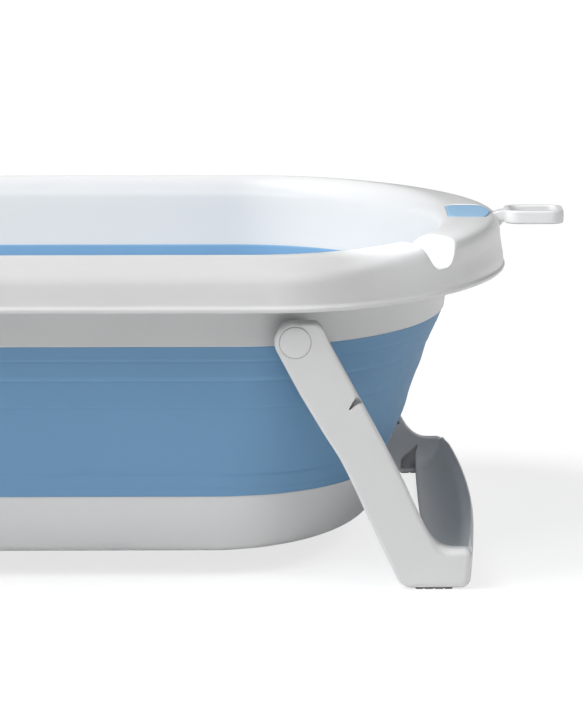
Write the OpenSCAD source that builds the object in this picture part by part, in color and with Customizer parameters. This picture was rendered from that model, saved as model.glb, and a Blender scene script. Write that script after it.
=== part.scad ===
// Folding baby bathtub: rigid rim, collapsible soft wall, rigid base pan,
// two folding U-shaped legs, drain plug and fold-down hanging ring.
// Millimetres. Origin on the floor, midway along the whole length
// (hanging ring out), +X towards the ring end, +Z up.

/* [Rim] */
// Half length of the rim at its lower lip
rim_half_l = 410; // [395:1:430]
// Half width of the rim at its lower lip
rim_half_w = 245; // [240:1:252]
// Height of the rim's crest along the sides
rim_h = 215; // [212:0.5:218]
// Rise of the deck at the two ends above the side crest
deck_rise = 1.5; // [0:0.1:3]
// Height of the skirt's lower lip
skirt_z = 180.5; // [178:0.5:184]
// Height of the rim's lower band edge, where the soft wall starts
band_z = 155; // [150:1:158]

/* [Soft wall and base] */
// Thickness of the soft wall
wall_t = 2.2; // [1.6:0.1:3]
// Height where the soft wall meets the base pan
seam_z = 55; // [50:1:60]
// Height of the base pan's underside
base_z = 15; // [12:0.5:18]
// Thickness of the base pan
base_t = 3; // [2.5:0.1:4]

/* [Drain] */
// Distance of the drain hole from the tub's middle
drain_x = 170; // [-200:5:200]
// Radius of the drain hole
drain_r = 17; // [12:0.5:22]

/* [Legs] */
// Distance of the leg pivots from the tub's middle
pivot_x = 265; // [255:1:275]
// Height of the leg pivots
pivot_z = 160; // [158:0.5:162]
// Outer face of the leg arms, from the tub's middle
arm_y = 235; // [233:0.5:238]
// Thickness of the leg arms
arm_t = 14; // [12:0.5:15]
// Radius of the pivot bush
bush_r = 7; // [6:0.1:8]
// Radial running clearance of the arm on its bush
run_gap = 0.05; // [0.02:0.01:0.1]
// Height of the crossbar's top edge
bar_h = 28; // [24:0.5:32]

/* [Hanging ring] */
// Tip of the ring, from the tub's middle
ring_tip = 449.2; // [440:0.2:455]
// Half width of the ring
ring_w = 19.5; // [14:0.5:20]
// Underside of the ring
ring_z = 209.3; // [208:0.1:211]
// Thickness of the ring
ring_t = 9; // [7:0.1:10]

/* [Hidden] */

white = [0.93, 0.93, 0.92];
blue = [0.42, 0.62, 0.80];
steel = [0.72, 0.73, 0.75];
grey = [0.62, 0.64, 0.66];

x_mid = (ring_tip - rim_half_l)/2;   // tub's middle lies this far towards -X
M = 30;                              // segments in each rounded end
e_l = rim_half_l - 410;              // change of length from the base design
e_w = rim_half_w - 245;

// One closed outline: straight sides to +-s, superellipse ends out to E.
// Height runs from zs along the sides to ze at the ends.
function ring(B, s, E, n, zs, ze) = concat(
  [for (i = [0:M]) let(t = -90 + 180*i/M, c = max(0, cos(t)), q = sin(t))
     [s + (E - s)*pow(c, 2/n), B*sign(q)*pow(abs(q), 2/n), zs + (ze - zs)*c*c]],
  [for (i = [0:M]) let(t = 90 + 180*i/M, c = max(0, -cos(t)), q = sin(t))
     [-s - (E - s)*pow(c, 2/n), B*sign(q)*pow(abs(q), 2/n), zs + (ze - zs)*c*c]]);
N = 2*(M + 1);

// Level rows are [B, s, E, n, z side, z end]
function rings(lv) = [for (r = lv) for (p = ring(r[0] + e_w, r[1] + e_l, r[2] + e_l, r[3], r[4], r[5])) p];

function quads(i, k) = [for (j = [0:N-1]) let(a = i*N + j, b = i*N + (j+1)%N, c = k*N + (j+1)%N, d = k*N + j)
                        for (f = [[a, b, c], [a, c, d]]) f];

// Closed tube: the levels run round a closed cross-section
module sweep_loop(lv) {
  K = len(lv);
  polyhedron(points = rings(lv),
    faces = [for (i = [0:K-1]) for (f = quads((i+1)%K, i)) f], convexity = 8);
}
// Bowl or plug: the levels run from a bottom cap to a second cap
module sweep_cap(lv) {
  K = len(lv);
  polyhedron(points = rings(lv),
    faces = concat([[for (j = [0:N-1]) j]],
      [for (i = [0:K-2]) for (f = quads(i+1, i)) f],
      [[for (j = [N-1:-1:0]) (K-1)*N + j]]), convexity = 8);
}

h = rim_h;
he = rim_h + deck_rise;

// Rim surface seen from outside: inner wall, crest, crown, shoulder, skirt, lip
rim_out = [
  [216.4, 226.0, 364.4, 2.05, band_z, band_z],
  [216.4, 225.6, 364.8, 2.08, h - 36, he - 34],
  [216.4, 225.3, 364.8, 2.10, h - 15, he - 13.5],
  [216.9, 225.0, 365.2, 2.14, h - 10.5, he - 8.5],
  [218.2, 225.2, 366.8, 2.18, h - 6, he - 4],
  [220.0, 226.8, 369.6, 2.20, h - 2.4, he - 1.2],
  [222.6, 230.2, 374.5, 2.16, h - 0.1, he - 0.1],
  [226.2, 235.0, 384.6, 2.10, h - 0.6, he + 0.1],
  [230.4, 240.0, 395.2, 2.03, h - 3.0, he - 0.2],
  [234.6, 245.0, 402.2, 1.94, h - 6.6, he - 1.6],
  [238.0, 249.5, 405.4, 1.87, h - 10.8, he - 5.0],
  [240.4, 252.4, 406.5, 1.83, h - 15.6, he - 10.5],
  [241.4, 253.6, 407.0, 1.81, h - 20.5, he - 17],
  [242.6, 255.2, 408.6, 1.80, h - 28.5, he - 27],
  [243.4, 256.0, 409.2, 1.80, skirt_z + 3.6, skirt_z + 3.6],
  [244.8, 256.8, 409.7, 1.80, skirt_z + 2.4, skirt_z + 2.4],
  [245.0, 256.9, 410.0, 1.80, skirt_z + 1.2, skirt_z + 1.2],
  [244.7, 256.8, 409.6, 1.80, skirt_z, skirt_z]];
// Hidden faces: back of the skirt, underside of the deck, back of the band
rim_in = [
  [242.0, 254.5, 406.6, 1.80, skirt_z, skirt_z],
  [240.8, 253.5, 405.4, 1.80, skirt_z + 4.2, skirt_z + 4.2],
  [238.8, 251.2, 404.2, 1.82, h - 19.5, he - 17],
  [237.6, 249.8, 403.8, 1.84, h - 15.0, he - 11.2],
  [235.6, 247.2, 402.6, 1.88, h - 11.8, he - 7.0],
  [232.6, 243.4, 399.6, 1.95, h - 8.6, he - 4.6],
  [229.2, 239.0, 394.0, 2.03, h - 5.6, he - 3.4],
  [225.8, 235.0, 385.4, 2.10, h - 3.4, he - 3.1],
  [222.9, 231.4, 378.4, 2.14, h - 3.0, he - 3.3],
  [220.9, 229.0, 373.8, 2.16, h - 5.0, he - 4.8],
  [219.6, 227.4, 371.6, 2.14, h - 8.6, he - 8.0],
  [219.2, 226.9, 370.8, 2.10, h - 15, he - 14.5],
  [219.1, 226.8, 370.0, 2.07, h - 36, he - 36],
  [219.2, 226.7, 368.2, 2.03, band_z, band_z]];

// Shower-handle cradle: a U-shaped groove, falling outward, across the near corner of the rim
cradle_r = 13.5;                        // radius of each rounded side
cradle_w = 4;                           // half width of the flat between them
cradle_in = [336.2, -137.8, 211.4];     // bottom line where it leaves the inner edge
cradle_dir = -36;
cradle_tilt = 23;
module cradle_cut(g, l0, l1) {          // g: how far outside the groove's own surface
  r = cradle_r + g;
  translate(cradle_in) rotate([0, 0, cradle_dir]) rotate([0, cradle_tilt, 0])
    translate([l0, 0, 0]) rotate([90, 0, 90]) linear_extrude(l1 - l0) polygon(concat(
      [[-r - cradle_w, 30]],
      [for (a = [180:10:270]) [-cradle_w + r*cos(a), cradle_r + r*sin(a)]],
      [for (a = [270:10:360]) [cradle_w + r*cos(a), cradle_r + r*sin(a)]],
      [[r + cradle_w, 30]]));
}
// Everything inside the rim's outer skin above a level, as a solid ring
rim_env = concat(
  [for (i = [2:12]) let(r = rim_out[i], d = i < 6 ? 0.9 : i < 9 ? 0.2 : -0.9)
    [r[0] + d, r[1] + d*0.6, r[2] + d, r[3], r[4] - 1.1, r[5] - 1.1]],
  [[238.8, 251.2, 404.4, 1.82, h - 36.4, he - 36.4], [218.1, 226.4, 367.4, 2.06, h - 36.4, he - 36.4]]);

ring_px = 400.5;                        // ring pivot
ring_pz = 199.2;

module rim_frame() {
  color(white) difference() {
    union() {
      sweep_loop(concat(rim_out, rim_in));
      // trough wall of the cradle
      intersection() {
        sweep_loop(rim_env);
        cradle_cut(2.6, -12, 46);
      }
      // bosses for the ring bracket
      for (y = [-15, 15]) translate([383, y, he - 9]) cylinder(r = 4, h = 6.2, $fn = 24);
    }
    cradle_cut(0, -30, 80);
    // screw holes of the bracket
    for (y = [-15, 15]) translate([383, y, he - 10]) cylinder(r = 1.25, h = 6, $fn = 20);
    // slot for the ring's neck
    translate([400.3, -7, 188]) cube([30, 14, 40]);
    // recesses for the grip pads
    for (sx = [-1, 1]) scale([sx, 1, 1]) translate([0, 0, he - 1.4]) linear_extrude(6) polygon(pad_pts(0.25));
  }
}

// ---- soft wall -------------------------------------------------------
function wl(f, o) = // level at height fraction f (1 at the band, 0 at the seam), offset o inwards
  let(z = seam_z + (band_z - seam_z)*f)
  [lookup(f, [[0, 200.2], [0.12, 203.2], [0.36, 209.6], [0.6, 213.4], [0.85, 216.6], [0.94, 217.6], [1, 218.9]]) - o,
   lookup(f, [[0, 204.8], [0.3, 214], [1, 226.7]]) - o*0.3,
   lookup(f, [[0, 327.2], [0.3, 342.0], [0.76, 359.8], [0.9, 364.6], [1, 367.9]]) - o,
   lookup(f, [[0, 2.28], [1, 2.03]]), z, z];
wall_f = [0, 0.06, 0.13, 0.15, 0.26, 0.36, 0.47, 0.6, 0.77, 0.8, 0.9, 0.92, 1];
wall_step = [0, 0, 0.2, 0.9, 0.7, 0.5, 0.7, 0.9, 1.1, 0.4, 0.3, 0, 0];
module soft_wall() {
  color(blue) sweep_loop(concat(
    [for (i = [len(wall_f)-1:-1:0]) wl(wall_f[i], wall_step[i])],
    [for (i = [0:len(wall_f)-1]) wl(wall_f[i], wall_step[i] + wall_t)]));
}

// ---- base pan --------------------------------------------------------
t = base_t;
base_lv = [
  [120, 150, 240, 1.9, base_z, base_z],
  [171, 208, 303, 1.90, base_z, base_z],
  [180, 212, 312.5, 1.92, base_z + 1.4, base_z + 1.4],
  [187, 210.5, 318.6, 2.0, base_z + 6, base_z + 6],
  [192.6, 208.8, 322.4, 2.1, base_z + 13, base_z + 13],
  [196.8, 207, 324.9, 2.2, base_z + 22, base_z + 22],
  [199.2, 205.6, 326.4, 2.26, base_z + 31, base_z + 31],
  [200.2, 204.8, 327.2, 2.28, seam_z, seam_z],
  [200.2 - t, 204, 327.2 - t, 2.28, seam_z, seam_z],
  [199 - t, 204.6, 326.2 - t, 2.26, base_z + 31, base_z + 31],
  [196.4 - t, 206, 324.4 - t, 2.2, base_z + 23, base_z + 23],
  [191.6 - t, 207.8, 321.4 - t, 2.1, base_z + 14.6, base_z + 14.6],
  [185.4 - t, 209.4, 317 - t, 2.0, base_z + 8.6, base_z + 8.6],
  [178 - t, 211, 310.5 - t, 1.92, base_z + 4.4, base_z + 4.4],
  [169, 208, 301, 1.90, base_z + t, base_z + t],
  [120, 150, 240, 1.9, base_z + t, base_z + t]];
module base_pan() {
  color(white) difference() {
    union() {
      sweep_cap(base_lv);
      // drain collar under the floor
      translate([drain_x, 0, base_z - 4]) cylinder(r = drain_r + 4, h = 5, $fn = 64);
    }
    translate([drain_x, 0, base_z - 10]) cylinder(r = drain_r, h = 40, $fn = 64);
    // recess for the plug's flange
    translate([drain_x, 0, base_z + t - 1.2]) cylinder(r = drain_r + 8, h = 10, $fn = 64);
  }
}

module drain_plug() {
  color(blue) translate([drain_x, 0, 0]) {
    difference() {
      union() {
        // flange in its recess
        translate([0, 0, base_z + t - 1.15]) cylinder(r = drain_r + 7.6, h = 2.4, $fn = 64);
        // stopper body
        translate([0, 0, base_z - 4]) cylinder(r = drain_r - 0.35, h = 8, $fn = 64);
      }
      translate([0, 0, base_z - 5]) cylinder(r = drain_r - 3, h = 6.4, $fn = 48);
    }
    // finger tab
    difference() {
      translate([-2.25, 0, base_z + t + 1.2]) rotate([90, 0, 90]) linear_extrude(4.5)
        union() { translate([-9, 0]) square([18, 7]); translate([0, 7]) circle(r = 9, $fn = 40); }
      translate([-5, 0, base_z + t + 7.6]) rotate([0, 90, 0]) cylinder(r = 4.6, h = 10, $fn = 32);
    }
  }
}

// ---- legs ------------------------------------------------------------
pv = [pivot_x, pivot_z];
px = pivot_x - 265;
foot_z = 0.8;
// Arm outline in the X-Z plane, pivot end at the top, toe at the bottom right
arm_pts = concat(
  [for (a = [0:15:45]) [pivot_x + 6.2 + 13.6*cos(60 - a), pivot_z + 0.9 + 13.6*sin(60 - a)]],
  [[287.4 + px, 158.0], [305.2 + px, 125.2], [322.5 + px, 92.9], [335.2 + px, 67.8],
   [340.4 + px, 56.4], [344.8 + px, 47.2], [348.4 + px, 39.8], [352.6 + px, 33.2],
   [357.2 + px, 28.9], [362.4 + px, 26.6], [368.5 + px, 25.8]],
  [for (a = [80:-20:0]) [372 + px + 5.6*cos(a), 20.2 + 5.6*sin(a)]],
  [for (a = [0:-18:-90]) [371.4 + px + 6.2*cos(a), foot_z + 6.2 + 6.2*sin(a)]],
  [for (a = [-90:-12:-150]) [340 + px + 11*cos(a), foot_z + 11 + 11*sin(a)]],
  [[322.5 + px, 22.8], [311 + px, 47.5], [300.6 + px, 70.5], [292.6 + px, 86.0], [284.0 + px, 99.5],
   [268.5 + px, 125.2]],
  [for (a = [208:-8:96]) [pivot_x + 13.3*cos(a), pivot_z + 13.3*sin(a)]]);

module arm_plan(y0, y1) {  // slab of the arm outline between two Y values
  translate([0, y1, 0]) rotate([90, 0, 0]) linear_extrude(y1 - y0) children();
}
bar_xi = 356.7 + px;
function bar_xo(y) = 385 + px - 7.6*pow(y/235, 2);
NB = 20;
bar_y = arm_y - 6;
// Crossbar cross-section: floor plate sweeping up into the bowed back wall
function bar_sec(y) = let(xo = bar_xo(y), w = xo - bar_xi)
  concat([[bar_xi, foot_z]],
    [for (a = [0:9]) let(u = a/9) [bar_xi + u*(w - 2.6), foot_z + 3 + (bar_h - 4.6)*(1 - sqrt(max(0, 1 - pow(u, 2.3))))]],
    [[xo - 1.6, bar_h], [xo, bar_h - 1.6], [xo, foot_z + 3], [xo, foot_z],
     [xo - 2.8, foot_z], [xo - 2.8, foot_z + 3], [xo - 2.8, foot_z + 9], [xo - 2.8, bar_h - 8]],
    [for (a = [9:-1:0]) let(u = a/9) [bar_xi + 3 + u*(w - 6.2), foot_z + 0.8 + (bar_h - 9.4)*(1 - sqrt(max(0, 1 - pow(u, 2.6))))]],
    [[bar_xi + 2.8, foot_z]]);
function bar_ring(y) = [for (p = bar_sec(y)) [p[0], y, p[1]]];
module loft_y(ys) {
  K = len(bar_ring(0));
  pts = [for (y = ys) for (p = bar_ring(y)) p];
  R = len(ys);
  // end caps join each outer point to the inner point opposite it
  cap = [for (j = [0:K/2-2]) for (f = [[j, j+1, K-2-j], [j, K-2-j, K-1-j]]) f];
  polyhedron(points = pts, faces = concat(cap,
    [for (i = [0:R-2]) for (j = [0:K-1]) let(a = i*K + j, b = i*K + (j+1)%K, c = (i+1)*K + (j+1)%K, d = (i+1)*K + j)
       for (f = [[a, d, c], [a, c, b]]) f],
    [for (f = cap) [for (q = [2:-1:0]) (R-1)*K + f[q]]]), convexity = 6);
}
function pad_xy() = [342 + px, 366 + px];
module leg() {
  color(white) difference() {
    union() {
      for (s = [-1, 1]) {
        y0 = s > 0 ? arm_y - arm_t : -arm_y;
        arm_plan(y0, y0 + arm_t) polygon(arm_pts);
      }
      loft_y([for (i = [0:NB]) -bar_y + 2*bar_y*i/NB]);
      // ribs under the crossbar
      for (y = [-120, 0, 120]) translate([bar_xi + 1.5, y - 1.2, foot_z]) cube([24, 2.4, 2.2]);
    }
    for (s = [-1, 1]) {
      // running bore on the bush, then counterbore for washer, screw and cap
      translate([pivot_x, s*(arm_y - arm_t/2), pivot_z]) rotate([90, 0, 0])
        cylinder(r = bush_r + run_gap, h = 40, center = true, $fn = 64);
      translate([pivot_x, s*(arm_y + 14), pivot_z]) rotate([90, 0, 0])
        cylinder(r = 10.1, h = 40, center = true, $fn = 64);
      // hollow back of the arm, split by ribs
      y0 = s > 0 ? arm_y - arm_t - 1 : -arm_y + 4.2;
      for (seg = [[112, 140], [84, 109.5], [56, 81.5], [36, 53.5]])
        arm_plan(y0, y0 + arm_t - 3.2) intersection() {
          offset(delta = -3) polygon(arm_pts);
          translate([200, seg[0]]) square([250, seg[1] - seg[0]]);
        }
      // catch slit in the outer edge
      translate([303.6 + px, s*(arm_y - arm_t/2), 119.7]) rotate([0, -36, 0]) cube([2.8, 30, 9], center = true);
      // pocket for the rubber foot
      translate([pad_xy()[0] - 0.1, s > 0 ? arm_y - 12.1 : 1.9 - arm_y, -1]) cube([24.2, 10.2, 3.3]);
    }
  }
}
module leg_right() { leg(); }
module leg_left() { mirror([1, 0, 0]) leg(); }

module foot_pads() {
  color(grey) for (s = [-1, 1])
    translate([pad_xy()[0], s > 0 ? arm_y - 12 : 2 - arm_y, 0]) cube([24, 10, 2.2]);
}
module foot_pads_right() { foot_pads(); }
module foot_pads_left() { mirror([1, 0, 0]) foot_pads(); }

module at_pivots(xs) {
  for (sx = xs) for (sy = [-1, 1])
    translate([sx*pivot_x, 0, pivot_z]) rotate([sy > 0 ? -90 : 90, 0, 0]) children();
}
// Flanged bush: the flange's back follows the band, the journal carries the arm
module pivot_bushes() {
  color(grey) difference() {
    at_pivots([-1, 1]) {
      translate([0, 0, 198]) cylinder(r = 12, h = 21.5, $fn = 64);
      translate([0, 0, 219]) cylinder(r = bush_r, h = 10.5, $fn = 64);
    }
    at_pivots([-1, 1]) translate([0, 0, 211]) cylinder(r = 2.05, h = 24, $fn = 32);
    translate([0, 0, pivot_z - 20]) linear_extrude(40)
      polygon([for (p = ring(219.5 + e_w, 226.8 + e_l, 369.8 + e_l, 2.07, 0, 0)) [p[0], p[1]]]);
  }
}
module pivot_washers() {
  color(steel) at_pivots([-1, 1]) translate([0, 0, 229.5]) difference() {
    cylinder(r = 9.4, h = 1.2, $fn = 48);
    translate([0, 0, -1]) cylinder(r = 2.2, h = 4, $fn = 32);
  }
}
module pivot_screws() {
  color(steel) at_pivots([-1, 1]) difference() {
    union() {
      translate([0, 0, 212]) cylinder(r = 1.9, h = 20, $fn = 32);
      translate([0, 0, 230.7]) cylinder(r1 = 4.6, r2 = 3.4, h = 2, $fn = 32);
    }
    translate([-2.6, -0.5, 231.8]) cube([5.2, 1, 2]);
    translate([-0.5, -2.6, 231.8]) cube([1, 5.2, 2]);
  }
}
module pivot_caps(sx) {
  color(white) at_pivots([sx]) {
    translate([0, 0, 233.2]) cylinder(r = 10.05, h = arm_y - 233.2 + 0.1, $fn = 64);
    translate([0, 0, arm_y + 0.1]) cylinder(r1 = 10.05, r2 = 9.3, h = 0.7, $fn = 64);
  }
}
module pivot_caps_right() { pivot_caps(1); }
module pivot_caps_left() { pivot_caps(-1); }

// ---- grip pads set in the deck at both ends ---------------------------
function pad_pts(o) = let(x0 = 371.5 - o, x1 = 399.5 + o, y = 30 + o, r = 7)
  concat([for (a = [0:15:90]) [x1 - 3.4 - r + r*cos(a), y - r + r*sin(a)]],
         [for (a = [90:15:180]) [x0 + r + r*cos(a), y - r + r*sin(a)]],
         [for (a = [180:15:270]) [x0 + r + r*cos(a), -y + r + r*sin(a)]],
         [for (a = [270:15:360]) [x1 - 3.4 - r + r*cos(a), -y + r + r*sin(a)]],
         [for (q = [-1:0.25:1]) [x1 - 3.4*q*q, q*(y - r)]]);
module grip_pads() {
  color(blue) for (sx = [-1, 1]) scale([sx, 1, 1])
    translate([0, 0, he - 1.35]) linear_extrude(1.75) polygon(pad_pts(0));
}

// ---- hanging ring -----------------------------------------------------
function rr(x0, x1, y, r) = concat(
  [for (a = [0:10:90]) [x1 - r + r*cos(a), y - r + r*sin(a)]],
  [for (a = [90:10:180]) [x0 + r + r*cos(a), y - r + r*sin(a)]],
  [for (a = [180:10:270]) [x0 + r + r*cos(a), -y + r + r*sin(a)]],
  [for (a = [270:10:360]) [x1 - r + r*cos(a), -y + r + r*sin(a)]]);
module hanging_ring() {
  color(white) difference() {
    union() {
      translate([0, 0, ring_z]) linear_extrude(ring_t) difference() {
        polygon(rr(409.4, ring_tip, ring_w, 9));
        polygon(rr(413.6, ring_tip - 4, ring_w - 4.4, 5.6));
      }
      // neck running back and down to the knuckle
      translate([0, 6, 0]) rotate([90, 0, 0]) linear_extrude(12) polygon([
        [ring_px - 3.4, ring_pz + 2], [ring_px + 4, ring_pz - 0.5], [406.4, ring_z - 2.6], [408.4, ring_z - 0.7], [411.6, ring_z],
        [411.6, ring_z + ring_t - 0.5], [408.5, ring_z + ring_t - 0.9], [404, ring_z + ring_t - 1.8], [402, ring_z + ring_t - 2.9],
        [401.2, ring_z + ring_t - 5]]);
      translate([ring_px, 6, ring_pz]) rotate([90, 0, 0]) cylinder(r = 4.2, h = 12, $fn = 40);
    }
    translate([ring_px, 20, ring_pz]) rotate([90, 0, 0]) cylinder(r = 1.55, h = 40, $fn = 32);
  }
}
module ring_pin() {
  color(steel) translate([ring_px, 11, ring_pz]) rotate([90, 0, 0]) cylinder(r = 1.5, h = 22, $fn = 32);
}
module ring_bracket() {
  color(white) difference() {
    union() {
      // plate screwed up against the deck bosses
      translate([376, -20, he - 11.6]) cube([14, 40, 2.6]);
      // two ears that carry the pin
      for (y = [-11, 7.4]) translate([0, y + 3.6, 0]) rotate([90, 0, 0]) linear_extrude(3.6)
        polygon([[380, he - 11.6], [380, he - 9.2], [396.5, he - 9.2], [400.4, ring_pz + 3.6], [402.6, ring_pz + 1],
                 [402.8, ring_pz - 1], [401.4, ring_pz - 3.2], [394, ring_pz - 4.6]]);
    }
    for (y = [-15, 15]) translate([383, y, he - 20]) cylinder(r = 1.6, h = 20, $fn = 24);
    translate([ring_px, 20, ring_pz]) rotate([90, 0, 0]) cylinder(r = 1.52, h = 40, $fn = 32);
  }
}
module bracket_screws() {
  color(steel) for (y = [-15, 15]) translate([383, y, 0]) {
    translate([0, 0, he - 11.7]) cylinder(r = 1.2, h = 6.5, $fn = 24);
    translate([0, 0, he - 13.5]) cylinder(r = 2.8, h = 1.85, $fn = 24);
  }
}

module place() { translate([-x_mid, 0, 0]) children(); }
place() rim_frame();
place() soft_wall();
place() base_pan();
place() drain_plug();
place() leg_right();
place() leg_left();
place() pivot_bushes();
place() pivot_washers();
place() pivot_screws();
place() pivot_caps_right();
place() pivot_caps_left();
place() foot_pads_right();
place() foot_pads_left();
place() grip_pads();
place() hanging_ring();
place() ring_pin();
place() ring_bracket();
place() bracket_screws();
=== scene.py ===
import math
import bpy
import bmesh
import numpy as np
from mathutils import Vector, Matrix


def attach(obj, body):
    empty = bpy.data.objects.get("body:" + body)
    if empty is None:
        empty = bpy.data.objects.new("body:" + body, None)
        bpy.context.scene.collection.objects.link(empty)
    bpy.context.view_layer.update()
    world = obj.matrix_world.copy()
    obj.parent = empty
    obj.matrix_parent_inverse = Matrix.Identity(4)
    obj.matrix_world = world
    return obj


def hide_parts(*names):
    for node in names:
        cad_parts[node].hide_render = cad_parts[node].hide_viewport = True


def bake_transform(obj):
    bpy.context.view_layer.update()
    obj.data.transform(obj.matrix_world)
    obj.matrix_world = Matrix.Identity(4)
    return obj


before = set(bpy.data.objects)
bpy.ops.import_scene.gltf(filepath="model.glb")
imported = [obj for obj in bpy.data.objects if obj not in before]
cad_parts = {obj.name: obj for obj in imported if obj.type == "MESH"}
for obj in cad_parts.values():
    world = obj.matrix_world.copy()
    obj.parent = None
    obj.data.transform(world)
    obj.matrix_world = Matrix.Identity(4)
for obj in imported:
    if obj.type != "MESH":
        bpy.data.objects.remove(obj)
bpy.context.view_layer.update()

XM = 19.6                 # the tub's middle lies this far towards -X of the row origin, in mm


def M3(p):
    """Tub millimetres to row metres."""
    p = np.asarray(p, float)
    return (p - np.array([XM, 0, 0])) / 1000.0


# ------------------------------------------------------------------ mesh helpers
def make(name, verts, faces, recalc=True):
    me = bpy.data.meshes.new(name)
    me.from_pydata([tuple(v) for v in M3(verts)], [], [tuple(int(i) for i in f) for f in faces])
    me.update()
    if recalc:
        bm = bmesh.new(); bm.from_mesh(me)
        bmesh.ops.recalc_face_normals(bm, faces=bm.faces)
        bm.to_mesh(me); bm.free()
    ob = bpy.data.objects.new(name, me)
    bpy.context.scene.collection.objects.link(ob)
    return ob


def smooth(ob, angle=32, weighted=True):
    me = ob.data
    me.polygons.foreach_set("use_smooth", [True] * len(me.polygons))
    me.set_sharp_from_angle(angle=math.radians(angle))
    if weighted:
        m = ob.modifiers.new("wn", "WEIGHTED_NORMAL")
        m.keep_sharp = True
        m.weight = 60
    return ob


def bake(ob):
    """Apply every modifier of ob to its mesh."""
    dg = bpy.context.evaluated_depsgraph_get()
    me = bpy.data.meshes.new_from_object(ob.evaluated_get(dg), depsgraph=dg)
    ob.modifiers.clear()
    old = ob.data
    ob.data = me
    me.name = ob.name
    bpy.data.meshes.remove(old)
    return ob


def boolean(ob, cutters, op="DIFFERENCE", solver="MANIFOLD"):
    for c in cutters:
        m = ob.modifiers.new("b", "BOOLEAN")
        m.operation = op
        m.solver = solver
        m.object = c
    bpy.context.view_layer.update()
    before = len(ob.data.polygons)
    bake(ob)
    for c in cutters:
        me = c.data
        bpy.data.objects.remove(c)
        bpy.data.meshes.remove(me)
    # weld the slivers a boolean leaves
    bm = bmesh.new(); bm.from_mesh(ob.data)
    bmesh.ops.remove_doubles(bm, verts=bm.verts, dist=2e-6)
    bmesh.ops.dissolve_degenerate(bm, edges=bm.edges, dist=2e-6)
    bm.to_mesh(ob.data); bm.free()
    return ob


def cyl(r, p0, p1, seg=64, r1=None):
    """Closed cylinder or cone between two points (mm)."""
    p0, p1 = np.array(p0, float), np.array(p1, float)
    r1 = r if r1 is None else r1
    d = (p1 - p0) / np.linalg.norm(p1 - p0)
    a = np.cross(d, [0, 0, 1.0]) if abs(d[2]) < 0.9 else np.cross(d, [1.0, 0, 0])
    a /= np.linalg.norm(a); b = np.cross(d, a)
    t = np.arange(seg) * 2 * math.pi / seg
    c = np.outer(np.cos(t), a) + np.outer(np.sin(t), b)
    V = np.vstack([p0 + r * c, p1 + r1 * c])
    F = [[i, (i + 1) % seg, seg + (i + 1) % seg, seg + i] for i in range(seg)]
    F += [list(range(seg))[::-1], list(range(seg, 2 * seg))]
    return V, F


def lathe(profile, axis0, axis_dir, seg=72):
    """Closed solid of revolution: profile of (radius, height) from axis to axis."""
    d = np.array(axis_dir, float); d /= np.linalg.norm(d)
    a = np.cross(d, [0, 0, 1.0]) if abs(d[2]) < 0.9 else np.cross(d, [1.0, 0, 0])
    a /= np.linalg.norm(a); b = np.cross(d, a)
    V, F, rings = [], [], []
    for r, hh in profile:
        base = np.array(axis0, float) + d * hh
        if r < 1e-6:
            rings.append([len(V)]); V.append(base)
        else:
            ids = []
            for k in range(seg):
                t = 2 * math.pi * k / seg
                ids.append(len(V)); V.append(base + r * (math.cos(t) * a + math.sin(t) * b))
            rings.append(ids)
    for q, w in zip(rings[:-1], rings[1:]):
        if len(q) == 1 and len(w) == 1:
            continue
        for k in range(seg):
            k2 = (k + 1) % seg
            if len(q) == 1:
                F.append([q[0], w[k], w[k2]])
            elif len(w) == 1:
                F.append([q[k], w[0], q[k2]])
            else:
                F.append([q[k], w[k], w[k2], q[k2]])
    return np.array(V), F


def arc(cx, cz, r, a0, a1, n):
    t = np.radians(np.linspace(a0, a1, n + 1))
    return [[cx + r * math.cos(q), cz + r * math.sin(q)] for q in t]


def spline2(P, sub):
    """Catmull-Rom through 2-D points, ends kept."""
    P = np.array(P, float)
    Q = np.vstack([2 * P[0] - P[1], P, 2 * P[-1] - P[-2]])
    out = []
    for i in range(len(P) - 1):
        out += [list(x) for x in cr_seg(Q[i], Q[i + 1], Q[i + 2], Q[i + 3], sub)]
    out.append(list(P[-1]))
    return out


def cr_seg(p0, p1, p2, p3, sub, key=slice(None)):
    def dist(a, b):
        return max(float(np.sqrt((((a - b)[key]) ** 2).sum())), 1e-6) ** 0.5
    t0 = 0.0; t1 = t0 + dist(p0, p1); t2 = t1 + dist(p1, p2); t3 = t2 + dist(p2, p3)
    out = []
    for k in range(sub):
        t = t1 + (t2 - t1) * k / sub
        A1 = (t1 - t) / (t1 - t0) * p0 + (t - t0) / (t1 - t0) * p1
        A2 = (t2 - t) / (t2 - t1) * p1 + (t - t1) / (t2 - t1) * p2
        A3 = (t3 - t) / (t3 - t2) * p2 + (t - t2) / (t3 - t2) * p3
        B1 = (t2 - t) / (t2 - t0) * A1 + (t - t0) / (t2 - t0) * A2
        B2 = (t3 - t) / (t3 - t1) * A2 + (t - t1) / (t3 - t1) * A3
        out.append((t2 - t) / (t2 - t1) * B1 + (t - t1) / (t2 - t1) * B2)
    return out


def dense_rows(rows, sub):
    P = np.array(rows, float)
    Q = np.vstack([2 * P[0] - P[1], P, 2 * P[-1] - P[-2]])
    out = []
    for i in range(len(P) - 1):
        n = sub[i] if isinstance(sub, (list, tuple)) else sub
        out += cr_seg(Q[i], Q[i + 1], Q[i + 2], Q[i + 3], n, key=[0, 2, 4, 5])
    out.append(P[-1])
    return np.array(out)


def right_arc(row, t):
    B, s, E, n, zs, ze = row
    c = np.maximum(0.0, np.cos(np.radians(t))); q = np.sin(np.radians(t))
    return np.stack([s + (E - s) * c ** (2 / n), B * np.sign(q) * np.abs(q) ** (2 / n), zs + (ze - zs) * c * c], -1)


def outline(row, tr, tl):
    """One closed outline: right arc at angles tr, left arc at angles tl (both in degrees, -90..90)."""
    R = right_arc(row, tr)
    L = right_arc(row, tl)[::-1].copy()
    L[:, 0] *= -1
    return np.vstack([R, L])


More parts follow.
